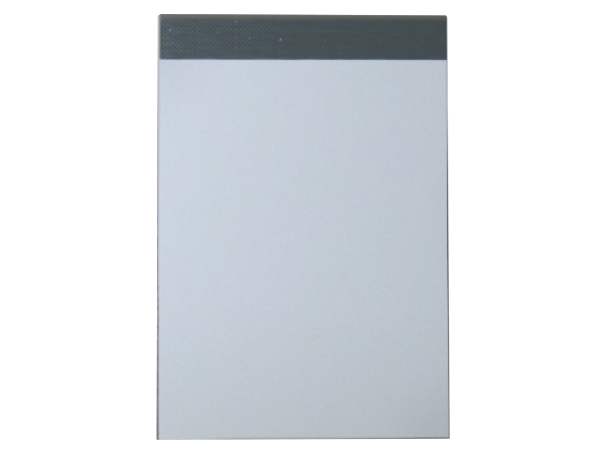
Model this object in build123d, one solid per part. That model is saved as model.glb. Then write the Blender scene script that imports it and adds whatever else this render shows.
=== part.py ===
from build123d import *
from itertools import cycle, islice
import os

# A head-bound writing pad, lying on its back: plain sheets on a grey board, glued together at the
# head, with one strip of woven cloth tape folded over the glued edge from the front to the back.
# Millimetres. +Z is up through the sheets, +Y points to the head and +X to the right of the writer.
# The origin is where the pad lies, under the middle of its outline.

# The whole pad, over the tape at the head
pad_length = 203.2

# Backing board
board_width = 139.7
board_thickness = 1.0
board_corner_radius = 0.4   # where the tape turns round the board's lower edge
tape_bed_depth = 0.12       # how far the pressed tape sinks into the board's back
tape_bed_clearance = 0.1    # between the end of the tape and the end of its bed

# Sheets
sheet_count = 50
sheet_thickness = 0.09
sheet_inset = 0.8           # the board shows this far past the sheets at both sides and the foot
leaf_stray = 0.09           # the furthest that one sheet's edge lies inside the block's outline
shoulder_radius = 1.3       # the top sheets are drawn round at the head by the tape

# Film of padding glue on the heads of the sheets
glue_thickness = 0.3
glue_end_inset = 0.15       # the film ends this far inside the sheets at both sides

# Binding tape
cloth_thickness = 0.22      # from its glued face to the valleys between two threads
thread_rise = 0.1           # a thread's crown above those valleys
thread_pitch = 1.085
front_flap = 22.1           # down the front, from the head
back_flap = 19.0            # down the back, from the head
tape_gap_left = 1.5         # the tape ends short of the board's sides
tape_gap_right = 0.9

# How far each sheet strays, as shares of leaf_stray, from the board up and then over again
left_stray_shares = (0.0, 0.8, 0.3, 1.0, 0.5)
right_stray_shares = (0.7, 0.2, 0.9, 0.0, 0.6, 0.3, 1.0)
foot_stray_shares = (0.4, 0.0, 0.8, 0.3, 1.0, 0.2)

# Levels, from the table up
bed_level = cloth_thickness + thread_rise
board_back_level = bed_level - tape_bed_depth
board_top_level = board_back_level + board_thickness
sheets_top_level = board_top_level + sheet_count * sheet_thickness

# Lines across the pad, from the head down to the foot
head_line = pad_length / 2
tape_inner_line = head_line - thread_rise - cloth_thickness
stack_head_line = tape_inner_line - glue_thickness
front_flap_line = head_line - front_flap
back_flap_line = head_line - back_flap
foot_line = -pad_length / 2
sheets_foot_line = foot_line + sheet_inset

# Sides
board_side = board_width / 2
sheets_side = board_side - sheet_inset
tape_left = -board_side + tape_gap_left
tape_right = board_side - tape_gap_right

# The tape turns round the corners with the glue film under it
front_fold_radius = shoulder_radius + glue_thickness
back_fold_radius = board_corner_radius + glue_thickness


def extrude_across(section, left, right):
    """Extrude a face drawn in (Y, Z) from one X to another."""
    return Pos(left, 0, 0) * extrude(Plane.YZ * section, amount=right - left)


def rectangle_between(low, high):
    """A face in (Y, Z) between its foot-side lower corner and its head-side upper corner."""
    return make_face(Polyline(low, (high[0], low[1]), high, (low[0], high[1]), close=True))


def stepped_edge(line, inward, shares):
    """The corners of a stack of sheet edges, from the board up. inward is 1 or -1."""
    corners = []
    for index, share in enumerate(islice(cycle(shares), sheet_count)):
        level = board_top_level + index * sheet_thickness
        edge = line + inward * share * leaf_stray
        corners.append((edge, level))
        corners.append((edge, level + sheet_thickness))
    return corners


def make_backing_board():
    """Grey board, pressed thinner where the tape lies and rounded where the tape turns."""
    bed_end_line = back_flap_line - tape_bed_clearance
    slab = rectangle_between((foot_line, board_back_level), (stack_head_line, board_top_level))
    bed = rectangle_between((bed_end_line, board_back_level), (stack_head_line, bed_level))
    board = extrude_across(slab - bed, -board_side, board_side)
    turned_edge = board.edges().filter_by(Axis.X).group_by(Axis.Y)[-1].sort_by(Axis.Z)[0]
    return fillet(turned_edge, board_corner_radius)


def make_page_block():
    """All the sheets as one solid: each sheet's edge shows as a fine step at the sides and foot."""
    left_edge = stepped_edge(-sheets_side, 1, left_stray_shares)
    right_edge = stepped_edge(sheets_side, -1, right_stray_shares)
    across = make_face(Polyline(*left_edge, *reversed(right_edge), close=True))
    block = Pos(0, stack_head_line, 0) * extrude(
        Plane.XZ * across, amount=stack_head_line - sheets_foot_line)

    foot_edge = stepped_edge(sheets_foot_line, 1, foot_stray_shares)
    shoulder_start = (stack_head_line - shoulder_radius, sheets_top_level)
    shoulder_end = (stack_head_line, sheets_top_level - shoulder_radius)
    outline = Curve() + [
        Polyline(*foot_edge, shoulder_start),
        RadiusArc(shoulder_start, shoulder_end, shoulder_radius),
        Polyline(shoulder_end, (stack_head_line, board_top_level), foot_edge[0]),
    ]
    return block & extrude_across(make_face(outline), -board_side, board_side)


def make_head_glue():
    """The glue film on the flat heads of the sheets and the board, behind the tape."""
    film = rectangle_between(
        (stack_head_line, bed_level + back_fold_radius),
        (tape_inner_line, sheets_top_level - front_fold_radius))
    film_side = sheets_side - glue_end_inset
    return extrude_across(film, -film_side, film_side)


def folded_line(height):
    """The tape's line over the head, from the front flap to the back, height off its glued face."""
    front_fold_start = (tape_inner_line - front_fold_radius, sheets_top_level + height)
    front_fold_end = (tape_inner_line + height, sheets_top_level - front_fold_radius)
    back_fold_start = (tape_inner_line + height, bed_level + back_fold_radius)
    back_fold_end = (tape_inner_line - back_fold_radius, bed_level - height)
    return Wire([
        Line((front_flap_line, sheets_top_level + height), front_fold_start),
        RadiusArc(front_fold_start, front_fold_end, front_fold_radius + height),
        Line(front_fold_end, back_fold_start),
        RadiusArc(back_fold_start, back_fold_end, back_fold_radius + height),
        Line(back_fold_end, (back_flap_line, bed_level - height)),
    ])


def thread_ridges(valley_line):
    """One round ridge for each thread that lies across the tape, along the line of the valleys."""
    thread_count = round(valley_line.length / thread_pitch)
    ridges = []
    for index in range(thread_count):
        middle_share = (index + 0.5) / thread_count
        along = valley_line % middle_share
        crown = valley_line @ middle_share + Vector(-along.Y, along.X) * thread_rise
        ridges.append(ThreePointArc(
            valley_line @ (index / thread_count), crown, valley_line @ ((index + 1) / thread_count)))
    return ridges


def make_binding_tape():
    """Cloth tape folded over the head. Its threads show as ridges from side to side."""
    glued_line = folded_line(0)
    ridges = thread_ridges(folded_line(cloth_thickness))
    front_end = Line(glued_line @ 0, ridges[0] @ 0)
    back_end = Line(ridges[-1] @ 1, glued_line @ 1)
    section = make_face(Curve() + [front_end, *ridges, back_end, *glued_line.edges()])
    return extrude_across(section, tape_left, tape_right)


pieces = {
    "backing_board": make_backing_board(),
    "page_block": make_page_block(),
    "head_glue": make_head_glue(),
    "binding_tape": make_binding_tape(),
}

os.makedirs("parts", exist_ok=True)
for name, piece in pieces.items():
    export_step(piece, f"parts/{name}.step")
    print(name, f"{piece.volume:.1f} mm3", piece.bounding_box())
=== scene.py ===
# %% [markdown]
# # A tape-bound writing pad
# This notebook dresses a small writing pad: fifty plain sheets on a grey board, glued at the head
# and bound with one strip of woven cloth tape. The pad's solids come from its construction model,
# so every piece here starts from the boxes of those solids, in metres, with +Y at the head.

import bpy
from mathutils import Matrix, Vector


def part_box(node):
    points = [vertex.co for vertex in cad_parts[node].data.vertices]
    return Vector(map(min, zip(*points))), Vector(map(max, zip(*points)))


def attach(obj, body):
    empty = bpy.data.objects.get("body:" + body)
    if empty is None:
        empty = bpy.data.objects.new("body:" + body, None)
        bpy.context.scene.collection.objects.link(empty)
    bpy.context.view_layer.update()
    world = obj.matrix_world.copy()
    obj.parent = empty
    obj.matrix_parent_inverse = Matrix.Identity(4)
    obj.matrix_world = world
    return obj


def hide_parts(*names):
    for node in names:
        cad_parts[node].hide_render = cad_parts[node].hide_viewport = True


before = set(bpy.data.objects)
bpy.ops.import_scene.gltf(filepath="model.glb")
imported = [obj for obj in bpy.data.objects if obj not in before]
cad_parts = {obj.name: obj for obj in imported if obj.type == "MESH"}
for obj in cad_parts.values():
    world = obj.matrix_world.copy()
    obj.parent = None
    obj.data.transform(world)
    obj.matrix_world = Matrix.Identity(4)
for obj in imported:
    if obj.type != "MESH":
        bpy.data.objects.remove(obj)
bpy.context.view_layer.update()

# %% Tools for meshes, chance and noise
import math
import random

import bmesh
import bpy
from mathutils import Matrix, Vector, noise

MM = 0.001

# %% Where the sheets, the board and the tape lie
sheets_low, sheets_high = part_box("page_block")
board_low, board_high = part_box("backing_board")
tape_low, tape_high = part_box("binding_tape")
print("sheets", tuple(sheets_low), tuple(sheets_high))
print("board", tuple(board_low), tuple(board_high))
print("tape", tuple(tape_low), tuple(tape_high))

# %% [markdown]
# ## Small helpers
# Every finished piece is one mesh whose object stays at the origin, so its place is in its points.
# It rides on the pad's only body and takes its finish from the materials it is given.
# Materials are node trees, and short helpers keep them readable: a value that is a socket gets
# linked, and any other value is set on the input itself.

# %% Turn a bmesh into a piece of the pad
def add_object(name, data):
    """A new object in the scene, which shows a mesh or is a light or camera."""
    added = bpy.data.objects.new(name, data)
    bpy.context.scene.collection.objects.link(added)
    return added


def make_piece(shape, name, materials, replaced=()):
    """Write a bmesh to a mesh object that rides with the pad and stands for the replaced nodes."""
    mesh = bpy.data.meshes.new(name)
    shape.to_mesh(mesh)
    shape.free()
    for material in materials:
        mesh.materials.append(material)
    piece = add_object(name, mesh)
    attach(piece, "root")
    if replaced:
        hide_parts(*replaced)
    mesh.calc_loop_triangles()
    print(name, "has", len(mesh.loop_triangles), "triangles")


def shade_smooth(shape, sharp_deg):
    """Shade a bmesh smooth, apart from the edges that turn by more than an angle."""
    for face in shape.faces:
        face.smooth = True
    for edge in shape.edges:
        edge.smooth = edge.calc_face_angle(0) < math.radians(sharp_deg)


# %% Ease between two values
def ease(value, low, high):
    """0 at low, 1 at high and a smooth change between them."""
    share = min(max((value - low) / (high - low), 0.0), 1.0)
    return share * share * (3 - 2 * share)


# %% Write colours as they look on a screen
def screen_colour(red, green, blue):
    """A colour given as 0 to 255 on a screen, as the linear colour that a shader takes."""
    def linear(channel):
        share = channel / 255
        return share / 12.92 if share <= 0.04045 else ((share + 0.055) / 1.055) ** 2.4
    return (linear(red), linear(green), linear(blue), 1.0)


white = (1.0, 1.0, 1.0, 1.0)
print("white is", white)


# %% Build node trees with few words
def add_node(tree, kind, inputs=None, **settings):
    """Add a shader node, set its settings, and link or set its inputs by name or place."""
    node = tree.nodes.new(kind)
    for name, value in settings.items():
        setattr(node, name, value)
    for name, value in (inputs or {}).items():
        socket = node.inputs[name]
        if isinstance(value, bpy.types.NodeSocket):
            tree.links.new(value, socket)
        else:
            socket.default_value = value
    return node


def start_material(name, roughness, specular):
    """A new material, its tree and its surface shader, with the values that are even all over."""
    material = bpy.data.materials.new(name)
    material.use_nodes = True
    tree = material.node_tree
    shader = tree.nodes["Principled BSDF"]
    shader.inputs["Roughness"].default_value = roughness
    shader.inputs["Specular IOR Level"].default_value = specular
    return material, tree, shader


def print_nodes(material):
    """Print how many nodes a finished material has."""
    print("material", material.name, "has", len(material.node_tree.nodes), "nodes")


# %% Mix colours and values
def blend_colours(tree, share, first, second, blend_type="MIX"):
    """The colour between two colours, by a share from 0 to 1."""
    node = add_node(tree, "ShaderNodeMix", {0: share, 6: first, 7: second},
                    data_type="RGBA", blend_type=blend_type)
    return node.outputs[2]


def tint_colour(tree, share, colour, tint):
    """A colour multiplied by a tint, by a share from 0 to 1."""
    return blend_colours(tree, share, colour, tint, blend_type="MULTIPLY")


def calculate(tree, operation, *values):
    """One sum on values or sockets."""
    node = add_node(tree, "ShaderNodeMath", dict(enumerate(values)), operation=operation)
    return node.outputs["Value"]


def add_shares(tree, first, first_share, second, second_share):
    """The sum of two values, each times its share."""
    return calculate(tree, "ADD", calculate(tree, "MULTIPLY", first, first_share),
                     calculate(tree, "MULTIPLY", second, second_share))


def between(tree, value, low, high, low_result=0.0, high_result=1.0):
    """Turn the range from low to high into a smooth change between two results."""
    node = add_node(tree, "ShaderNodeMapRange",
                    {"Value": value, "From Min": low, "From Max": high,
                     "To Min": low_result, "To Max": high_result},
                    interpolation_type="SMOOTHSTEP")
    return node.outputs["Result"]


def mottled(tree, patches, first, second, low=0.35, high=0.65):
    """The first colour where patches are low and the second where they are high."""
    return blend_colours(tree, between(tree, patches, low, high), first, second)


# %% Places, noise and bumps
def place_on_pad(tree):
    """The place on the pad, in metres."""
    return add_node(tree, "ShaderNodeTexCoord").outputs["Object"]


def split_place(tree, place):
    """A place's three coordinates."""
    return add_node(tree, "ShaderNodeSeparateXYZ", {0: place}).outputs


def distance_from(tree, place, middle):
    """How far a place is from a point level with the top sheet, given in millimetres."""
    middle_point = (middle[0] * MM, middle[1] * MM, sheets_high.z)
    node = add_node(tree, "ShaderNodeVectorMath", {0: place, 1: middle_point},
                    operation="DISTANCE")
    return node.outputs["Value"]


def grain(tree, place, scale, detail=2.0, stretch=(1.0, 1.0, 1.0)):
    """Noise at a place, with scale in features a metre, stretched along the axes."""
    stretched = add_node(tree, "ShaderNodeMapping", {"Vector": place, "Scale": stretch})
    node = add_node(tree, "ShaderNodeTexNoise",
                    {"Vector": stretched.outputs["Vector"], "Scale": scale, "Detail": detail})
    return node.outputs["Fac"]


def dress_surface(tree, shader, colour, height, strength, distance):
    """Give a surface its colour, and bump it by a height from 0 to 1."""
    tree.links.new(colour, shader.inputs["Base Color"])
    bump = add_node(tree, "ShaderNodeBump",
                    {"Height": height, "Strength": strength, "Distance": distance})
    tree.links.new(bump.outputs["Normal"], shader.inputs["Normal"])


# %% [markdown]
# ## The camera
# The pad was photographed from right above, from about 90 cm, with a camera that leans a little:
# its far end is the head, which comes out 1.4 % narrower than the foot. From much nearer, the
# stack would hide the board's rim. The lens and the leans were chosen so that the pad's outline
# falls where it does in the photograph.

# %% Look straight down on the pad
camera_place = Vector((-37.0, -49.1, 900.0)) * MM
camera_lean_deg = (3.158, -2.259, -0.086)
camera_lens = 112.95

camera_data = bpy.data.cameras.new("camera")
camera_data.lens = camera_lens
camera = add_object("camera", camera_data)
camera.location = camera_place
camera.rotation_euler = [math.radians(angle) for angle in camera_lean_deg]
bpy.context.scene.camera = camera
print("camera is", round(camera_place.z / MM), "mm above the table")

# %% [markdown]
# ## Paper
# Plain bank paper in a pale, cool grey-blue. It isn't one flat colour: the fibres make a fine
# tooth and grain, and wide patches have the faintest cast of pink or green and of blue or tan.
# Shade is painted on it as well: the foot is a little darker and warmer, and two corners and the
# sheet's outermost millimetre are a shade darker. All of it comes from places on the pad itself,
# so it stays there when the pad is looked at from elsewhere. Glue has yellowed the strip of the
# top sheet that the tape leaves bare at its left end, most of all by the head, and the strip is
# darkest right beside the tape. Below the tape the paper has kept its blue, and a few small marks
# lie on the sheet.
# The sides of the stack get a material of their own, because cut edges show the sheets as fine
# lines, some darker than others.

# %% The paper's own colour
paper_colour = screen_colour(202, 211, 222)
paper_shade_colour = screen_colour(197, 206, 217)
pinkish_tint = (1.011, 0.994, 1.0, 1.0)
greenish_tint = (0.989, 1.006, 1.0, 1.0)
bluish_tint = (0.997, 0.998, 1.011, 1.0)
tan_tint = (1.003, 1.002, 0.989, 1.0)
cast_patches = ((45.0, pinkish_tint, greenish_tint), (60.0, bluish_tint, tan_tint))
formation_scale = 420.0
fibre_scale = 1300.0
fibre_stretch = (0.6, 1.3, 1.0)
tooth_scale = 3200.0


def paper_ground(tree, place):
    """Paper as it was made: cloudy, with fine fibres and a faint cast in wide patches."""
    formation = grain(tree, place, formation_scale, detail=3.0)
    fibres = grain(tree, place, fibre_scale, stretch=fibre_stretch)
    shade = add_shares(tree, formation, 0.2, fibres, 0.65)
    colour = mottled(tree, shade, paper_colour, paper_shade_colour, 0.28, 0.57)
    for scale, one_tint, other_tint in cast_patches:
        patches = grain(tree, place, scale, detail=5.0)
        cast = mottled(tree, patches, one_tint, other_tint, 0.3, 0.7)
        colour = tint_colour(tree, 1.0, colour, cast)
    return colour


# %% Painted shade on the paper
# Painted shade: the foot is a little darker and warmer.
foot_shade_tint = (0.925, 0.918, 0.89, 1.0)
foot_shade_from = -20.0 * MM
foot_shade_most = -125.0 * MM
# Painted shade on two corners.
corner_shade_tint = (0.87, 0.87, 0.89, 1.0)
shaded_corners = (((80.0, -115.0), 58.0), ((-85.0, 95.0), 60.0))
# Painted shade along the cut edges of the sheet.
edge_shade_colour = screen_colour(176, 181, 187)
edge_shade_reach = 1.1 * MM
past_edge = -0.3 * MM
spared_from = -30.0 * MM
spared_most = -60.0 * MM
spared_depth = 1.0 * MM


def paint_paper_shade(tree, place, colour):
    """Paint shade on the foot and two corners, and along the cut edges, apart from the left of the
    foot.
    """
    x, y, _ = split_place(tree, place)
    colour = tint_colour(tree, between(tree, y, foot_shade_from, foot_shade_most), colour, foot_shade_tint)
    for corner, radius in shaded_corners:
        near_corner = between(tree, distance_from(tree, place, corner), radius * MM, 0.0)
        colour = tint_colour(tree, near_corner, colour, corner_shade_tint)
    to_side = calculate(tree, "SUBTRACT", sheets_high.x, calculate(tree, "ABSOLUTE", x))
    spared = between(tree, x, spared_from, spared_most, 0.0, spared_depth)
    to_foot = calculate(tree, "ADD", calculate(tree, "SUBTRACT", y, sheets_low.y), spared)
    to_edge = calculate(tree, "MINIMUM", to_side, to_foot)
    painted_light_share = between(tree, to_edge, edge_shade_reach, past_edge)
    return blend_colours(tree, painted_light_share, colour, edge_shade_colour)


# %% What the tape and its glue did to the paper
unfaded_tint = (0.96, 1.015, 1.085, 1.0)
unfaded_reach = 1.8 * MM
yellowed_tint = (1.12, 1.03, 0.82, 1.0)
yellowed_below_tape = 0.6 * MM
yellowed_above_end = 0.3 * MM
yellower_tint = (1.04, 1.0, 0.88, 1.0)
yellower_from_head = 6.5 * MM
yellowest_from_head = 2.0 * MM
# The strip is darkest right beside the tape.
beside_tape_dark_colour = screen_colour(114, 116, 110)
beside_tape_dark_reach = 0.8 * MM
beside_tape_dark_under = 0.05 * MM


def paper_by_tape(tree, place, colour):
    """Keep the blue below the tape, yellow the strip of paper left of the tape with glue, and make
    it darkest right beside the tape.
    """
    x, y, _ = split_place(tree, place)
    below_tape = between(tree, y, tape_low.y - unfaded_reach, tape_low.y)
    colour = tint_colour(tree, below_tape, colour, unfaded_tint)
    at_left = between(tree, x, 0.0, -1.0 * MM)
    level_with_tape = between(tree, y, tape_low.y - yellowed_below_tape,
                              tape_low.y + yellowed_above_end)
    beside_tape = calculate(tree, "MULTIPLY", at_left, level_with_tape)
    colour = tint_colour(tree, beside_tape, colour, yellowed_tint)
    near_tape = between(tree, x, tape_low.x - beside_tape_dark_reach, tape_low.x + beside_tape_dark_under)
    darkest_beside_tape = calculate(tree, "MULTIPLY", beside_tape, near_tape)
    colour = blend_colours(tree, darkest_beside_tape, colour, beside_tape_dark_colour)
    near_head = between(tree, y, tape_high.y - yellower_from_head,
                        tape_high.y - yellowest_from_head)
    by_head = calculate(tree, "MULTIPLY", beside_tape, near_head)
    return tint_colour(tree, by_head, colour, yellower_tint)


# %% Small marks on the paper
mark_colour = screen_colour(150, 153, 160)
mark_places = (((4.8, -53.9), 1.6, 0.1), ((6.3, -53.4), 1.6, 0.12), ((7.7, -53.0), 1.5, 0.09),
               ((-28.1, -68.6), 1.1, 0.22), ((-29.4, -68.8), 1.0, 0.12),
               ((63.7, -61.0), 1.5, 0.1), ((65.7, -60.8), 1.3, 0.1), ((62.8, -68.0), 1.4, 0.07))
ragged_scale = 1500.0


def mark_share(tree, place, middle, radius):
    """1 at the middle of a round mark in millimetres, falling to 0 at its ragged rim."""
    away = distance_from(tree, place, middle)
    ragged = calculate(tree, "MULTIPLY", grain(tree, place, ragged_scale), radius * MM)
    away = calculate(tree, "ADD", away, ragged)
    return between(tree, away, radius * 1.4 * MM, radius * 0.5 * MM)


def marked_paper(tree, place, colour):
    """Put each mark at its place, as dark as its depth says."""
    for middle, radius, depth in mark_places:
        share = calculate(tree, "MULTIPLY", mark_share(tree, place, middle, radius), depth)
        colour = blend_colours(tree, share, colour, mark_colour)
    return colour


# %% The face of a sheet
def make_sheet_face():
    """Paper with all that has happened to it, its painted shade, and a fine tooth."""
    material, tree, shader = start_material("sheet_face", roughness=0.82, specular=0.15)
    place = place_on_pad(tree)
    colour = paper_ground(tree, place)
    for change in (paint_paper_shade, paper_by_tape, marked_paper):
        colour = change(tree, place, colour)
    tooth = grain(tree, place, tooth_scale, detail=3.0)
    dress_surface(tree, shader, colour, tooth, strength=0.3, distance=0.03 * MM)
    return material


sheet_face = make_sheet_face()
print_nodes(sheet_face)

# %% The cut edges of the sheets
edge_light_colour = screen_colour(234, 236, 239)
edge_dark_colour = screen_colour(176, 180, 188)
sheet_line_stretch = (18.0, 18.0, 9000.0)
edge_grime_scale = 90.0
edge_tooth_scale = 6000.0


def make_sheet_edges():
    """Cut edges: noise squeezed to lines as thin as the sheets, with soft grime over them."""
    material, tree, shader = start_material("sheet_edges", roughness=0.9, specular=0.15)
    place = place_on_pad(tree)
    each_sheet = grain(tree, place, 1.0, detail=1.0, stretch=sheet_line_stretch)
    grime_and_shade = grain(tree, place, edge_grime_scale, detail=4.0)
    share = add_shares(tree, each_sheet, 0.7, grime_and_shade, 0.3)
    colour = mottled(tree, share, edge_light_colour, edge_dark_colour, 0.35, 0.7)
    tooth = grain(tree, place, edge_tooth_scale)
    dress_surface(tree, shader, colour, tooth, strength=0.4, distance=0.04 * MM)
    return material


sheet_edges = make_sheet_edges()
print_nodes(sheet_edges)

# %% [markdown]
# ## The stack of sheets
# The construction model holds the sheets as one block with stepped edges. Here each sheet is a
# thin slab of its own, still in one mesh. A sheet could be a plain box, but a grid that
# solidify thickens can also bend: the free corners at the foot lift a little, each sheet more
# than the one below it. Small slips and turns of each sheet make the edges of the stack.
# The board's rim doesn't show evenly either. The sheets come out over it near the head and at
# the left of the foot, and leave it bare lower down, so their sides are let out or drawn in.

# %% Sizes of the stack
sheet_count = 50
sheet_pitch = (sheets_high.z - sheets_low.z) / sheet_count
sheet_body = sheet_pitch * 0.9
sheet_slip = 0.05 * MM
sheet_turn_deg = 0.02
sheet_seed = 4
sheet_sharp_deg = 30
shoulder_radius = 1.3 * MM
sheet_cells_across = 10
sheet_cells_along = 14
stack_head = sheets_high.y
print("each sheet is", round(sheet_body / MM, 3), "mm thick")


def head_of_sheet(level):
    """How far a sheet reaches to the head: the top sheets follow the round shoulder."""
    above = level - (sheets_high.z - shoulder_radius)
    if above <= 0:
        return stack_head
    return stack_head - shoulder_radius + math.sqrt(max(shoulder_radius ** 2 - above ** 2, 0))


# %% Lift the free corners
corner_lift = 0.22 * MM
left_lift_share = 0.6
lift_from = sheets_high.y * 0.3


def lift_at(x, y, share_up):
    """How far a sheet lifts off at a place: most at the foot's corners, and on the top sheets."""
    down = max(0.0, (lift_from - y) / (lift_from - sheets_low.y))
    sideways = abs(x) / sheets_high.x
    side_share = 1.0 if x > 0 else left_lift_share
    return corner_lift * side_share * (share_up ** 3) * (down ** 2) * (sideways ** 3)


print("the top sheet's right foot corner lifts by",
      round(lift_at(sheets_high.x, sheets_low.y, 1.0) / MM, 2), "mm")

# %% Let the sheets' sides out over the board's rim
left_let_out = ((85, 0.5), (20, 0.16), (-10, 0.1), (-44, -0.5), (-62, -0.48), (-100, -0.66))
right_let_out = ((72, 0.38), (10, -0.38), (-12, -0.46), (-48, -0.27), (-73, -0.25), (-95, -0.17))
foot_let_out = ((-62, 0.67), (-28, 0.42), (10, 0.37), (36, 0.28), (56, 0.02))


def along_profile(profile, place):
    """An amount at a place, by a smooth curve through pairs of a place and an amount, in mm."""
    amount = profile[0][1]
    for (start, before), (end, after) in zip(profile, profile[1:]):
        amount += (after - before) * ease(place, start * MM, end * MM)
    return amount * MM


def let_out(x, y):
    """How far a place on a sheet moves outwards: nothing inside, most at the three cut sides."""
    near_side = (abs(x) / sheets_high.x) ** 6
    near_foot = max(0.0, y / sheets_low.y) ** 6
    sideways = along_profile(right_let_out, y) if x > 0 else -along_profile(left_let_out, y)
    return Vector((near_side * sideways, -near_foot * along_profile(foot_let_out, x), 0.0))


for side_y in (80 * MM, 0.0, sheets_low.y):
    rim = sheets_low.x - board_low.x + let_out(sheets_low.x, side_y).x
    print("at y", round(side_y / MM), "mm the board's left rim is", round(rim / MM, 2), "mm wide")

# %% Lay the sheets one on the other
def lay_sheet(shape, index, chance):
    """Add one sheet to the stack as a grid with thickness, slipped and turned a little."""
    level = sheets_low.z + index * sheet_pitch
    head = head_of_sheet(level + sheet_pitch / 2)
    length = head - sheets_low.y
    width = sheets_high.x - sheets_low.x - 2 * sheet_slip
    made = bmesh.ops.create_grid(shape, x_segments=sheet_cells_across,
                                 y_segments=sheet_cells_along, size=0.5)
    corners = made["verts"]
    bmesh.ops.scale(shape, vec=(width, length - sheet_slip, 1.0), verts=corners)
    turn = Matrix.Rotation(math.radians(chance.uniform(-sheet_turn_deg, sheet_turn_deg)), 3, "Z")
    bmesh.ops.rotate(shape, matrix=turn, verts=corners)
    slip = Vector((chance.uniform(-sheet_slip, sheet_slip),
                   sheets_low.y + (length + sheet_slip) / 2 + chance.uniform(0, sheet_slip) / 2,
                   level))
    bmesh.ops.translate(shape, vec=slip, verts=corners)
    share_up = index / (sheet_count - 1)
    for corner in corners:
        corner.co += let_out(corner.co.x, corner.co.y)
        corner.co.z += lift_at(corner.co.x, corner.co.y, share_up)
    faces = list(dict.fromkeys(face for corner in corners for face in corner.link_faces))
    bmesh.ops.solidify(shape, geom=faces, thickness=-sheet_body)


def stack_sheets():
    """All sheets in one mesh, with the paper's face above and below and its edges at the sides."""
    shape = bmesh.new()
    chance = random.Random(sheet_seed)
    for index in range(sheet_count):
        lay_sheet(shape, index, chance)
    bmesh.ops.recalc_face_normals(shape, faces=shape.faces)
    for face in shape.faces:
        face.material_index = 0 if abs(face.normal.z) > 0.5 else 1
    shade_smooth(shape, sheet_sharp_deg)
    make_piece(shape, "sheet_stack", (sheet_face, sheet_edges), ("page_block",))


stack_sheets()

# %% [markdown]
# ## Binding cloth
# The tape is a coarse plain weave, filled and glazed, in a dark blue-grey. The threads are real
# relief in the mesh below. The material adds what is too fine for that: the twist of each
# thread, painted shade in the valleys between threads, and a smooth glaze on the crowns, which
# makes them glint where light comes in low. A painted glint also brightens the crowns, most in
# the left third. At the head and its left corner the glaze has rubbed off and tan cloth shows.
# The front end is bluer, and its cut fibres are pale, as they are at the left cut end. The mesh
# carries four attributes for this: the height of the weave, the painted glint on the crowns, how
# far they have been rubbed bare, and painted glint on small spots and on the crease together
# with the pale cut ends.

# %% The cloth's colours
cloth_colour = screen_colour(40, 49, 50)
# Darker cloth for the streaks, also used as the painted shade in the valleys.
darker_cloth_and_shade_colour = screen_colour(32, 41, 42)
# Painted glint for the crowns.
glint_colour = screen_colour(80, 93, 108)
front_end_colour = screen_colour(48, 60, 84)
worn_colour = screen_colour(112, 105, 93)
# Pale colour for the painted glint spots and for the cut fibres.
glint_and_fibre_colour = screen_colour(128, 140, 148)
greenish_dye = (0.94, 1.035, 0.92, 1.0)
purplish_dye = (1.055, 0.98, 1.155, 1.0)
glaze_tint = (0.78, 0.92, 1.0, 1.0)
front_end_reach = 2.4 * MM
front_end_full = 0.1 * MM
cut_fibre_reach = 0.6 * MM
cut_fibre_past = 0.1 * MM
cut_fibre_share = 0.55
dye_scale = 280.0
streak_scale = 500.0
streak_stretch = (0.25, 1.0, 1.0)


def woven_colour(tree, crown, painted_glint):
    """Painted shade in the valleys between the threads, and painted glint on the crowns in places.
    """
    colour = blend_colours(tree, between(tree, crown, 0.0, 0.6), darker_cloth_and_shade_colour,
                           cloth_colour)
    glinting = calculate(tree, "MULTIPLY", painted_glint,
                         between(tree, crown, 0.45, 0.85, 0.4, 1.0))
    return blend_colours(tree, glinting, colour, glint_colour)


def dyed_colour(tree, place, colour):
    """A bluer front end with pale cut fibres, uneven dye and darker streaks along the weft."""
    y = split_place(tree, place)["Y"]
    front_end = between(tree, y, tape_low.y + front_end_reach, tape_low.y + front_end_full)
    colour = blend_colours(tree, front_end, colour, front_end_colour)
    cut_fibres = between(tree, y, tape_low.y + cut_fibre_reach, tape_low.y - cut_fibre_past, 0.0,
                         cut_fibre_share)
    colour = blend_colours(tree, cut_fibres, colour, glint_and_fibre_colour)
    patches = grain(tree, place, dye_scale, detail=4.0)
    dye = mottled(tree, patches, greenish_dye, purplish_dye)
    colour = tint_colour(tree, 1.0, colour, dye)
    streaks = grain(tree, place, streak_scale, stretch=streak_stretch)
    return blend_colours(tree, between(tree, streaks, 0.35, 0.65, 0.0, 0.6), colour,
                         darker_cloth_and_shade_colour)


# %% The woven tape's finish
warp_twist_stretch = (7.0, 1.5, 1.0)
weft_twist_stretch = (1.5, 7.0, 1.0)


def thread_twist(tree, threads):
    """Noise stretched along each thread: at every other crossing the warp lies on top."""
    along_warp = grain(tree, threads, 1.0, stretch=warp_twist_stretch)
    along_weft = grain(tree, threads, 1.0, stretch=weft_twist_stretch)
    over = add_node(tree, "ShaderNodeTexChecker", {"Vector": threads, "Scale": 1.0})
    twist = add_node(tree, "ShaderNodeMix", {0: over.outputs["Fac"], 2: along_warp,
                                             3: along_weft}, data_type="FLOAT")
    return twist.outputs[0]


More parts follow.
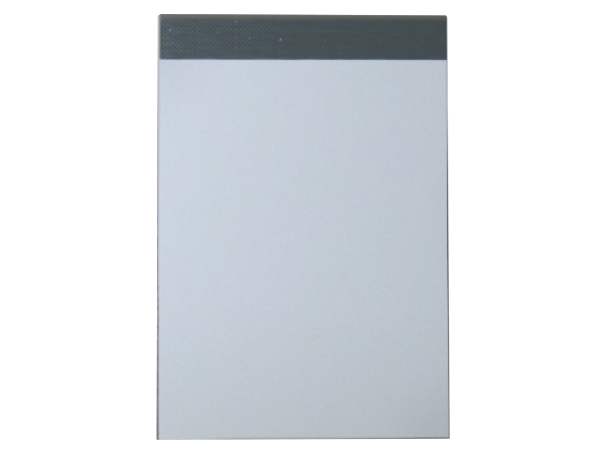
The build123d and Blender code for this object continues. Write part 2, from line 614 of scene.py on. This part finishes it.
def make_binding_cloth():
    """Glazed cloth, smoother on its crowns, duller and paler where it is worn."""
    material, tree, shader = start_material("binding_cloth", roughness=0.5, specular=0.6)
    shader.inputs["Specular Tint"].default_value = glaze_tint
    threads = add_node(tree, "ShaderNodeUVMap", uv_map="threads").outputs["UV"]
    crown, painted_glint, wear, glint_spots_and_cut_ends = (
        add_node(tree, "ShaderNodeAttribute", attribute_name=name).outputs["Fac"]
        for name in ("crown", "painted_glint", "wear", "glint_spots_and_cut_ends"))
    colour = dyed_colour(tree, place_on_pad(tree), woven_colour(tree, crown, painted_glint))
    colour = blend_colours(tree, wear, colour, worn_colour)
    colour = blend_colours(tree, glint_spots_and_cut_ends, colour, glint_and_fibre_colour)
    roughness = between(tree, crown, 0.5, 0.95, 0.66, 0.4)
    roughness = calculate(tree, "MAXIMUM", roughness, calculate(tree, "MULTIPLY", wear, 0.75))
    tree.links.new(roughness, shader.inputs["Roughness"])
    twist = thread_twist(tree, threads)
    dress_surface(tree, shader, colour, twist, strength=0.3, distance=0.03 * MM)
    return material


binding_cloth = make_binding_cloth()
print_nodes(binding_cloth)

# %% The cut cloth at the tape's two ends
cut_dark_colour = screen_colour(96, 98, 94)
cut_pale_colour = screen_colour(146, 141, 126)
fluff_scale = 2500.0


def make_cut_cloth():
    """Fluffy cut threads, which show the tan cloth inside the dye."""
    material, tree, shader = start_material("cut_cloth", roughness=0.95, specular=0.1)
    fluff = grain(tree, place_on_pad(tree), fluff_scale, detail=3.0)
    colour = mottled(tree, fluff, cut_dark_colour, cut_pale_colour)
    dress_surface(tree, shader, colour, fluff, strength=0.5, distance=0.05 * MM)
    return material


cut_cloth = make_cut_cloth()
print_nodes(cut_cloth)

# %% [markdown]
# ## The binding tape
# The tape lies on the top sheet, turns round the glued head and comes back under the board.
# It could be an extruded section, but a weave has relief both ways. So it starts as a flat grid
# with four cells to a thread, gets the height of the weave, and is then folded over the head.
# A coarse second grid makes its glued face, bridges close the two flaps' ends and fills close
# the cut ends.

# %% Sizes of the tape, as it is made
cloth_base = 0.22 * MM
thread_rise = 0.1 * MM
thread_pitch = 1.085 * MM
glue_film = 0.3 * MM
board_corner_radius = 0.4 * MM
back_flap_depth = 19.0 * MM
front_slant = 0.25 * MM
glued_lift = 0.004 * MM
quarter_turn = math.pi / 2

front_fold_radius = shoulder_radius + glue_film
back_fold_radius = board_corner_radius + glue_film
tape_inner_head = tape_high.y - thread_rise - cloth_base
front_level = sheets_high.z
back_level = tape_low.z + thread_rise + cloth_base
tape_width = tape_high.x - tape_low.x
flap_length = tape_high.y - tape_low.y

front_run = tape_inner_head - front_fold_radius - tape_low.y
front_turn = (front_fold_radius + cloth_base) * quarter_turn
head_run = (front_level - front_fold_radius) - (back_level + back_fold_radius)
back_turn = (back_fold_radius + cloth_base) * quarter_turn
back_run = tape_inner_head - back_fold_radius - (tape_high.y - back_flap_depth)
tape_path = front_run + front_turn + head_run + back_turn + back_run
threads_across = round(tape_width / thread_pitch)
threads_along = round(tape_path / thread_pitch)
print("the tape is", round(tape_path / MM, 1), "mm long round the head, with",
      threads_across, "by", threads_along, "threads")


# %% Fold a flat place over the head
def on_tape(x, along, height):
    """The place at a distance along the tape from its front end, and a height off its glued face.

    The front end was laid a little aslant: it reaches further down the pad at the left."""
    if along < front_run:
        slant = front_slant * (0.5 - x / tape_width) * (1 - along / front_run)
        return Vector((x, tape_low.y - slant + along, front_level + height))
    along -= front_run
    if along < front_turn:
        angle = along / front_turn * quarter_turn
        reach = front_fold_radius + height
        return Vector((x, tape_inner_head - front_fold_radius + reach * math.sin(angle),
                       front_level - front_fold_radius + reach * math.cos(angle)))
    along -= front_turn
    if along < head_run:
        return Vector((x, tape_inner_head + height, front_level - front_fold_radius - along))
    along -= head_run
    if along < back_turn:
        angle = along / back_turn * quarter_turn
        reach = back_fold_radius + height
        return Vector((x, tape_inner_head - back_fold_radius + reach * math.cos(angle),
                       back_level + back_fold_radius - reach * math.sin(angle)))
    along -= back_turn
    return Vector((x, tape_inner_head - back_fold_radius - along, back_level - height))


print("the tape starts at", tuple(on_tape(0.0, 0.0, 0.0)),
      "and ends at", tuple(on_tape(0.0, tape_path, 0.0)))

# %% The height of the weave
thread_seed = 11
thread_chance = random.Random(thread_seed)
warp_strength = [thread_chance.uniform(0.82, 1.0) for _ in range(threads_across + 1)]
weft_strength = [0.5 + 0.08 * (index % 2) + thread_chance.uniform(-0.04, 0.04)
                 for index in range(threads_along + 1)]
# The values are how much painted glint each proud warp carries.
proud_warps = {3: 0.1, 5: 0.03, 20: 0.04, 33: 0.11, 39: 0.06, 45: 0.08}
proud_strength = 1.04
for number in proud_warps:
    warp_strength[number] = proud_strength
filler_level = 0.3
under_share = 0.2


def in_threads(x, along):
    """A place on the flat tape, counted in threads each way."""
    return ((x - tape_low.x) / tape_width * threads_across,
            along / tape_path * threads_along)


def round_thread(share):
    """The height across one thread, 0 at its sides and 1 on its crown."""
    return max(0.0, math.cos(math.pi * (share - 0.5))) ** 0.8


def weave_height(across, along):
    """0 to 1: a filled plain weave at a place counted in threads. Its warp threads run along."""
    warp, weft = math.floor(across), math.floor(along)
    warp_over = 0.5 + 0.5 * math.cos(math.pi * (along - 0.5 - warp))
    weft_over = 0.5 - 0.5 * math.cos(math.pi * (across - 0.5 - weft))
    warp_height = round_thread(across - warp) * (under_share + (1 - under_share) * warp_over)
    weft_height = round_thread(along - weft) * (under_share + (1 - under_share) * weft_over)
    return max(warp_height * warp_strength[min(warp, threads_across)],
               weft_height * weft_strength[min(weft, threads_along)], filler_level)


print("height at a warp crown", round(weave_height(0.5, 0.5), 2),
      "and at a weft crown", round(weave_height(1.5, 0.5), 2))

# %% [markdown]
# ## Wear on the tape, and painted glint
# The head is where the pad rubs against other things. There the glaze is gone, the crowns are
# rubbed down and lint fills the valleys, and the wear turns down the left corner. A painted glint
# brightens the crowns of the left third, and more of it lies on a few warp threads that stand
# proud of the rest. A blister of air stands under the cloth and a faint crease runs across the
# flap, a little aslant; the blister, the crease and some small spots on the threads carry pale
# painted glint. All this could be painted by hand, but then it would need a picture. Here each
# one is a small function of the place on the flat tape.

# %% Rubbed folds and bare cloth
rubbed_reach = 1.5 * MM
first_rub_reach = 3.0 * MM
first_rub_share = 0.12
low_head_share = 0.25
back_fold_share = 0.6
bare_end = (0.1 * MM, 0.9 * MM)
bare_corner = (0.4 * MM, 2.0 * MM)
bare_corner_reach = 3.5 * MM
head_along = front_run + front_turn


def rubbed_at(along):
    """0 to 1: how hard the folds and the head have been rubbed."""
    up_fold = ((1 - first_rub_share) * ease(along, front_run - rubbed_reach,
                                            front_run + front_turn * 0.75)
               + first_rub_share * ease(along, front_run - first_rub_reach, front_run))
    down_head = 1 - ease(along, head_along, head_along + head_run * 0.9)
    back_fold = along - (head_along + head_run + back_turn / 2)
    on_back_fold = back_fold_share * (1 - ease(abs(back_fold), back_turn * 0.3, back_turn))
    return max(up_fold * (low_head_share + (1 - low_head_share) * down_head), on_back_fold)


def near_left_end(x, reach):
    """1 at the tape's left end, falling to 0 between a nearer and a further distance from it."""
    nearer, further = reach
    return 1 - ease(x, tape_low.x + nearer, tape_low.x + further)


def wear_at(x, along):
    """0 to 1: how far the glaze has rubbed off, in uneven patches."""
    patches = 0.5 + 0.5 * noise.noise(Vector((x * 240, along * 900, 0.0)))
    to_left = 0.5 - x / tape_width
    corner = (ease(along, front_run - bare_corner_reach, front_run)
              * near_left_end(x, bare_corner))
    return max(rubbed_at(along) * (0.52 + 0.3 * patches + 0.24 * to_left),
               near_left_end(x, bare_end) * (0.1 + 0.3 * patches),
               corner * (0.55 + 0.3 * patches))


print("wear at the head", round(wear_at(0.0, head_along), 2),
      "and on the flap", round(wear_at(0.0, front_run / 2), 2))

# %% A crease and a blister
crease_from_head = 7.84
crease_slope = 0.01
crease_half_width = 0.3 * MM
crease_start = -46 * MM
crease_full = -40 * MM
crease_fades_by = 60 * MM
crease_rise = 0.03
blister_place = (-10.7, 12.5)
blister_radius = 0.75
blister_rise = 0.1
dent_radius = 1.4
dent_half_width = 0.5
dent_depth = 0.03


def crease_at(x, along):
    """1 on a faint, slightly slanted crease across the flap, fading to 0 beside it and right."""
    from_head = crease_from_head * MM + crease_slope * x
    away = (flap_length - from_head - along) / crease_half_width
    ends = ease(x, crease_start, crease_full) * (1 - 0.6 * ease(x, 0.0, crease_fades_by))
    return math.exp(-away ** 2) * ends


def away_from_blister(x, along):
    """The distance from the blister's middle in millimetres."""
    return math.hypot(x - blister_place[0] * MM, flap_length - blister_place[1] * MM - along) / MM


def dent_at(x, along):
    """1 on a ring round the blister, fading to 0 beside it."""
    return math.exp(-((away_from_blister(x, along) - dent_radius) / dent_half_width) ** 2)


def unevenness_at(x, along):
    """Height in metres that the crease and the blister add to the cloth."""
    blister = math.exp(-(away_from_blister(x, along) / blister_radius) ** 2)
    return (crease_rise * crease_at(x, along) + blister_rise * blister
            - dent_depth * dent_at(x, along)) * MM


print("the crease lies", crease_from_head, "mm and the blister", blister_place[1],
      "mm from the head")

# %% Painted glint on the crowns
glint_from = 12 * MM
glint_full = -66 * MM
bright_from = -55 * MM
bright_full = -67 * MM
unglinted_end = (0.3 * MM, 1.4 * MM)


def proud_at(x):
    """How much painted glint the few warp threads that stand proud of the rest carry."""
    across, _ = in_threads(x, 0.0)
    return proud_warps.get(int(across), 0.0) * round_thread(across - int(across))


def painted_glint_at(x, along):
    """0 to 1: how much painted glint the crowns carry, unevenly, and less and less from left to
    right.
    """
    patches = ease(noise.noise(Vector((x * 130, along * 190, 3.0))), -0.45, 0.45)
    one_crown = noise.cell(Vector(((x - tape_low.x) / thread_pitch, along / thread_pitch, 0.5)))
    to_left = (0.05 + 0.4 * ease(x, glint_from, glint_full)
               + 0.52 * ease(x, bright_from, bright_full))
    painted_light_share = to_left * (0.65 + 0.19 * patches) * (0.75 + 0.27 * one_crown) + proud_at(x)
    painted_light_share *= 1 - near_left_end(x, unglinted_end)
    return min(max(painted_light_share + 0.1 * crease_at(x, along) - 0.6 * dent_at(x, along), 0.0), 1.0)


print("polish at the left", round(painted_glint_at(bright_full, front_run / 2), 2),
      "and in the middle", round(painted_glint_at(0.0, front_run / 2), 2))

# %% Painted glint spots and pale cut threads
# Small spots of painted glint, each with its place in millimetres and its strength.
glint_spot_places = ((-63.6, 8.3, 0.67), (-41.0, 9.1, 0.23), (-32.1, 3.9, 0.33), (-31.8, 11.4, 0.15),
               (-32.0, 16.5, 0.17), (-25.7, 12.0, 0.27), (-10.7, 12.5, 0.75), (10.6, 13.0, 0.16),
               (18.0, 16.6, 0.13), (36.5, 13.0, 0.12), (43.8, 10.4, 0.09), (56.8, 12.8, 0.12))
glint_spot_half_width = 0.4 * MM
glint_spot_half_length = 0.55 * MM
pale_end = (0.05 * MM, 0.45 * MM)
pale_end_share = 0.45
crease_glint_share = 0.03


def glints_and_cut_ends_at(x, along):
    """0 to 1: small spots of painted glint, less than a thread wide and a bit longer.

    The crease carries a trace of painted highlight, and the threads' cut ends are pale."""
    strongest = max(crease_glint_share * crease_at(x, along),
                    pale_end_share * near_left_end(x, pale_end))
    for slub_x, from_head, paleness in glint_spot_places:
        across = (x - slub_x * MM) / glint_spot_half_width
        beside = (flap_length - from_head * MM - along) / glint_spot_half_length
        strongest = max(strongest, paleness * math.exp(-across ** 2 - beside ** 2))
    return strongest


print(len(glint_spot_places), "glint_spots")

# %% The relief of the rubbed weave
rubbed_level = 0.7
flattened_share = 0.8


def relief_at(x, along):
    """The height of the weave at a place on the flat tape, as a share of a full crown.

    On the folds and the head the crowns are rubbed down and the valleys filled with lint."""
    relief = weave_height(*in_threads(x, along))
    return relief + (rubbed_level - relief) * flattened_share * rubbed_at(along)


def woven_height(x, along):
    """The height of the tape's outer face off its glued face."""
    return cloth_base + thread_rise * relief_at(x, along) + unevenness_at(x, along)


print("the cloth is", round(woven_height(0.0, head_along) / MM, 2), "mm thick at the head")

# %% Weave the tape flat and fold it
cells_to_thread = 4
cells_across = threads_across * cells_to_thread
glued_cells_along = 14
tape_sharp_deg = 55


def fold_grid(shape, cells_along, height_at):
    """A grid over the whole tape, folded over the head at the heights that a function gives."""
    made = bmesh.ops.create_grid(shape, x_segments=cells_across, y_segments=cells_along, size=0.5)
    flat_places = {}
    for corner in made["verts"]:
        x = tape_low.x + (corner.co.x + 0.5) * tape_width
        along = (corner.co.y + 0.5) * tape_path
        flat_places[corner] = (x, along)
        corner.co = on_tape(x, along, height_at(x, along))
    return flat_places


def close_tape(shape, woven, glued):
    """Bridge the flaps' ends, fill the cut ends and point every face outwards."""
    flat_places = {**woven, **glued}
    for end in (0.0, tape_path):
        at_end = [edge for edge in shape.edges if edge.is_boundary and
                  all(abs(flat_places[corner][1] - end) < thread_rise for corner in edge.verts)]
        bmesh.ops.bridge_loops(shape, edges=at_end)
    cut_ends = [edge for edge in shape.edges if edge.is_boundary]
    bmesh.ops.holes_fill(shape, edges=cut_ends, sides=0)
    bmesh.ops.recalc_face_normals(shape, faces=shape.faces)


def weave_tape():
    """The woven face with its attributes, the glued face and what closes them, in one mesh."""
    shape = bmesh.new()
    threads = shape.loops.layers.uv.new("threads")
    finishes = [(shape.verts.layers.float.new(name), value_at)
                for name, value_at in (("crown", relief_at), ("painted_glint", painted_glint_at),
                                       ("wear", wear_at), ("glint_spots_and_cut_ends", glints_and_cut_ends_at))]
    woven = fold_grid(shape, threads_along * cells_to_thread, woven_height)
    for corner, (x, along) in woven.items():
        for layer, value_at in finishes:
            corner[layer] = value_at(x, along)
    for face in shape.faces:
        for loop in face.loops:
            loop[threads].uv = in_threads(*woven[loop.vert])
    glued = fold_grid(shape, glued_cells_along, lambda x, along: glued_lift)
    close_tape(shape, woven, glued)
    for face in shape.faces:
        face.material_index = 1 if abs(face.normal.x) > 0.95 else 0
    shade_smooth(shape, tape_sharp_deg)
    make_piece(shape, "binding_tape_woven", (binding_cloth, cut_cloth),
               ("binding_tape",))


weave_tape()

# %% [markdown]
# ## Loose fibres
# Cloth that is cut across its threads frays. A fringe could be hair, but hair isn't a solid mesh,
# so each fibre is a tiny cone with five sides, rooted in the cut end and leaning a little up or
# down. They all go into one mesh, with one longer stray thread at the front end.

# %% Fray the cut ends
fibres_to_an_end = 46
fibre_sides = 5
fibre_tip_share = 0.35
fibre_root_depth = 0.1 * MM
fibre_seed = 29
stray_x = -59.7 * MM
stray_along = 0.1 * MM
stray_direction = (0.25, -1.0, 0.02)
stray_length = 0.75 * MM
stray_radius = 0.09 * MM


def add_fibre(shape, root, direction, length, radius):
    """A cone from its root along a direction, thinner at its tip."""
    turn = direction.to_track_quat("Z", "Y").to_matrix().to_4x4()
    middle = Matrix.Translation(root + direction * length / 2)
    bmesh.ops.create_cone(shape, cap_ends=True, segments=fibre_sides, radius1=radius,
                          radius2=radius * fibre_tip_share, depth=length, matrix=middle @ turn)


def fray_end(shape, chance, end_x, outward):
    """Fibres along one cut end, which points outwards by -1 or 1."""
    for index in range(fibres_to_an_end):
        along = tape_path * (index + chance.uniform(0.2, 0.8)) / fibres_to_an_end
        height = cloth_base * chance.uniform(0.35, 0.95)
        root = on_tape(end_x - outward * fibre_root_depth, along, height)
        lean = on_tape(end_x, along, height + MM) - on_tape(end_x, along, height)
        direction = Vector((outward, chance.uniform(-0.3, 0.3), 0.0)) * MM
        direction = (direction + lean * chance.uniform(0.0, 0.35)).normalized()
        add_fibre(shape, root, direction, chance.uniform(0.2, 0.5) * MM,
                  chance.uniform(0.03, 0.06) * MM)


def fray_tape():
    """The fibres of both cut ends and the stray thread, in one mesh."""
    shape = bmesh.new()
    chance = random.Random(fibre_seed)
    for end_x, outward in ((tape_low.x, -1), (tape_high.x, 1)):
        fray_end(shape, chance, end_x, outward)
    stray_root = on_tape(stray_x, stray_along, cloth_base * 0.4)
    add_fibre(shape, stray_root, Vector(stray_direction).normalized(), stray_length, stray_radius)
    for face in shape.faces:
        face.smooth = True
    make_piece(shape, "tape_fray", (cut_cloth,))


fray_tape()

# %% [markdown]
# ## Grey board and glue
# The board is pressed from waste paper: a plain grey with dark and pale flecks and short fibres.
# Its rim carries painted shade, darkest at its outer edge, by the foot's left corner and at the
# right of the foot. The glue is a thin film of padding compound, cream and a little glossy, and it
# shows only at the ends of the tape. Both keep their solids and get a finish.

# %% Give a solid its finish
def refinish(node_name, material):
    """Put a material on one of the pad's solids, in place of the plain one it came with."""
    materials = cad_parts[node_name].data.materials
    materials.clear()
    materials.append(material)
    print(node_name, "gets", material.name)


# %% Grey board
board_colour = screen_colour(166, 164, 167)
board_dark_colour = screen_colour(140, 138, 141)
board_fibre_colour = (0.42, 0.41, 0.39, 1.0)
fleck_colour = screen_colour(70, 70, 74)
pulp_scale = 500.0
board_fibre_scale = 900.0
board_fibre_stretch = (0.35, 1.6, 2.0)
fleck_scale = 1500.0


def pressed_pulp(tree, place, fibres):
    """Cloudy pulp with short fibres and dark flecks in it."""
    pulp = grain(tree, place, pulp_scale, detail=5.0)
    flecks = grain(tree, place, fleck_scale, detail=1.0)
    colour = mottled(tree, pulp, board_colour, board_dark_colour)
    colour = blend_colours(tree, between(tree, fibres, 0.58, 0.7, 0.0, 0.35), colour,
                           board_fibre_colour)
    return blend_colours(tree, between(tree, flecks, 0.68, 0.74, 0.0, 0.6), colour, fleck_colour)


# %% Painted shade on the board's rim
# Painted shade on the top of the board's rim, strongest at the listed places.
rim_shade_colour = screen_colour(102, 99, 110)
rim_shade_places = (((-70.0, -106.0), 78.0, 1.0), ((48.0, -101.0), 62.0, 0.75))
rim_shade_everywhere = 0.1
rim_shade_patch_scale = 130.0
rim_shade_reach = 1.28 * MM
rim_shade_thickness = 0.2 * MM


def shade_rim(tree, place, colour):
    """Paint shade on the top of the rim, most at its outer edge and by the listed places."""
    x, y, z = split_place(tree, place)
    to_side = calculate(tree, "SUBTRACT", board_high.x, calculate(tree, "ABSOLUTE", x))
    to_foot = calculate(tree, "SUBTRACT", y, board_low.y)
    to_rim = calculate(tree, "MINIMUM", to_side, to_foot)
    grime_and_shade = rim_shade_everywhere
    for middle, radius, depth in rim_shade_places:
        near = between(tree, distance_from(tree, place, middle), radius * MM, 0.0, 0.0, depth)
        grime_and_shade = calculate(tree, "MAXIMUM", near, grime_and_shade)
    shade_patches = between(tree, grain(tree, place, rim_shade_patch_scale, detail=3.0), 0.3, 0.6, 0.7, 1.0)
    grime_and_shade = calculate(tree, "MULTIPLY", grime_and_shade, shade_patches)
    on_top = between(tree, z, board_high.z - rim_shade_thickness, board_high.z)
    rim_shaded = calculate(tree, "MULTIPLY", between(tree, to_rim, rim_shade_reach, 0.0), grime_and_shade)
    rim_shaded = calculate(tree, "MULTIPLY", rim_shaded, on_top)
    return blend_colours(tree, rim_shaded, colour, rim_shade_colour)


def make_grey_board():
    """Pressed pulp with painted shade on its rim, and fibres that stand out a little."""
    material, tree, shader = start_material("grey_board", roughness=0.92, specular=0.15)
    place = place_on_pad(tree)
    fibres = grain(tree, place, board_fibre_scale, stretch=board_fibre_stretch)
    colour = shade_rim(tree, place, pressed_pulp(tree, place, fibres))
    dress_surface(tree, shader, colour, fibres, strength=0.35, distance=0.06 * MM)
    return material


refinish("backing_board", make_grey_board())

# %% Padding glue
glue_colour = screen_colour(206, 200, 180)
glue_thick_colour = screen_colour(188, 180, 156)
brush_scale = 700.0
brush_stretch = (0.2, 1.0, 1.0)


def make_padding_glue():
    """Cream padding compound with the streaks of the brush that laid it on."""
    material, tree, shader = start_material("padding_glue", roughness=0.4, specular=0.5)
    brushed = grain(tree, place_on_pad(tree), brush_scale, detail=3.0, stretch=brush_stretch)
    colour = mottled(tree, brushed, glue_colour, glue_thick_colour)
    dress_surface(tree, shader, colour, brushed, strength=0.3, distance=0.05 * MM)
    return material


refinish("head_glue", make_padding_glue())

# %% [markdown]
# ## Table and light
# The photograph's background is plain white. The table is a pale diffuse plane whose colour is
# lifted to white only for rays that show it, so it stays white without throwing more light on
# the pad, and still shows a soft shadow where the pad touches it. About three fifths of the
# light comes from a softbox to the left and the rest from an even sky, which together show
# colours about as written. The softbox is a little cooler than the sky, as daylight is beside a
# room's own light.

# %% Tell what is seen from what is lit
def seen_share(tree):
    """1 for rays that show a thing, straight, in gloss or through glass, and 0 for its light."""
    ray = add_node(tree, "ShaderNodeLightPath").outputs
    return calculate(tree, "MAXIMUM", ray["Is Camera Ray"],
                     calculate(tree, "MAXIMUM", ray["Is Glossy Ray"],
                               ray["Is Transmission Ray"]))


# %% A white table
table_size = 6.0
table_gap = 0.02 * MM
table_colour = (0.8, 0.8, 0.8, 1.0)
table_glow = 0.8


def make_table():
    """A wide floor just below the pad, which isn't part of it."""
    shape = bmesh.new()
    bmesh.ops.create_grid(shape, x_segments=1, y_segments=1, size=table_size / 2)
    bmesh.ops.translate(shape, vec=(0, 0, -table_gap), verts=shape.verts)
    mesh = bpy.data.meshes.new("table")
    shape.to_mesh(mesh)
    shape.free()
    material, tree, shader = start_material("table", roughness=0.9, specular=0.1)
    shader.inputs["Base Color"].default_value = table_colour
    shader.inputs["Emission Color"].default_value = white
    tree.links.new(calculate(tree, "MULTIPLY", seen_share(tree), table_glow),
                   shader.inputs["Emission Strength"])
    mesh.materials.append(material)
    table = add_object("table", mesh)


make_table()
print("the table is", table_size, "m wide and", table_gap / MM, "mm below the pad")

# %% A softbox to the left
softbox_place = Vector((-280.0, 80.0, 500.0)) * MM
softbox_size = 0.28
softbox_watts = 2.27
softbox_colour = (0.98, 0.985, 1.05)

light_data = bpy.data.lights.new("softbox", "AREA")
light_data.shape = "SQUARE"
light_data.size = softbox_size
light_data.energy = softbox_watts
light_data.color = softbox_colour
softbox = add_object("softbox", light_data)
softbox.visible_camera = False
softbox.location = softbox_place
softbox.rotation_euler = (-softbox_place).to_track_quat("-Z", "Y").to_euler()
print("the softbox is", round(softbox_place.length / MM), "mm from the pad's middle")

# %% An even sky that the camera sees as white
sky_strength = 0.385
sky_colour = (1.04, 1.03, 0.93, 1.0)


def make_sky():
    """A world that lights the pad evenly, and is white wherever it is seen."""
    world = bpy.data.worlds.new("sky")
    world.use_nodes = True
    tree = world.node_tree
    background = tree.nodes["Background"]
    seen = seen_share(tree)
    tree.links.new(blend_colours(tree, seen, sky_colour, white), background.inputs["Color"])
    strength = between(tree, seen, 0.0, 1.0, sky_strength, 1.0)
    tree.links.new(strength, background.inputs["Strength"])
    bpy.context.scene.world = world


make_sky()
bpy.context.scene.view_settings.view_transform = "Standard"
print("the sky lights the pad at a strength of", sky_strength)
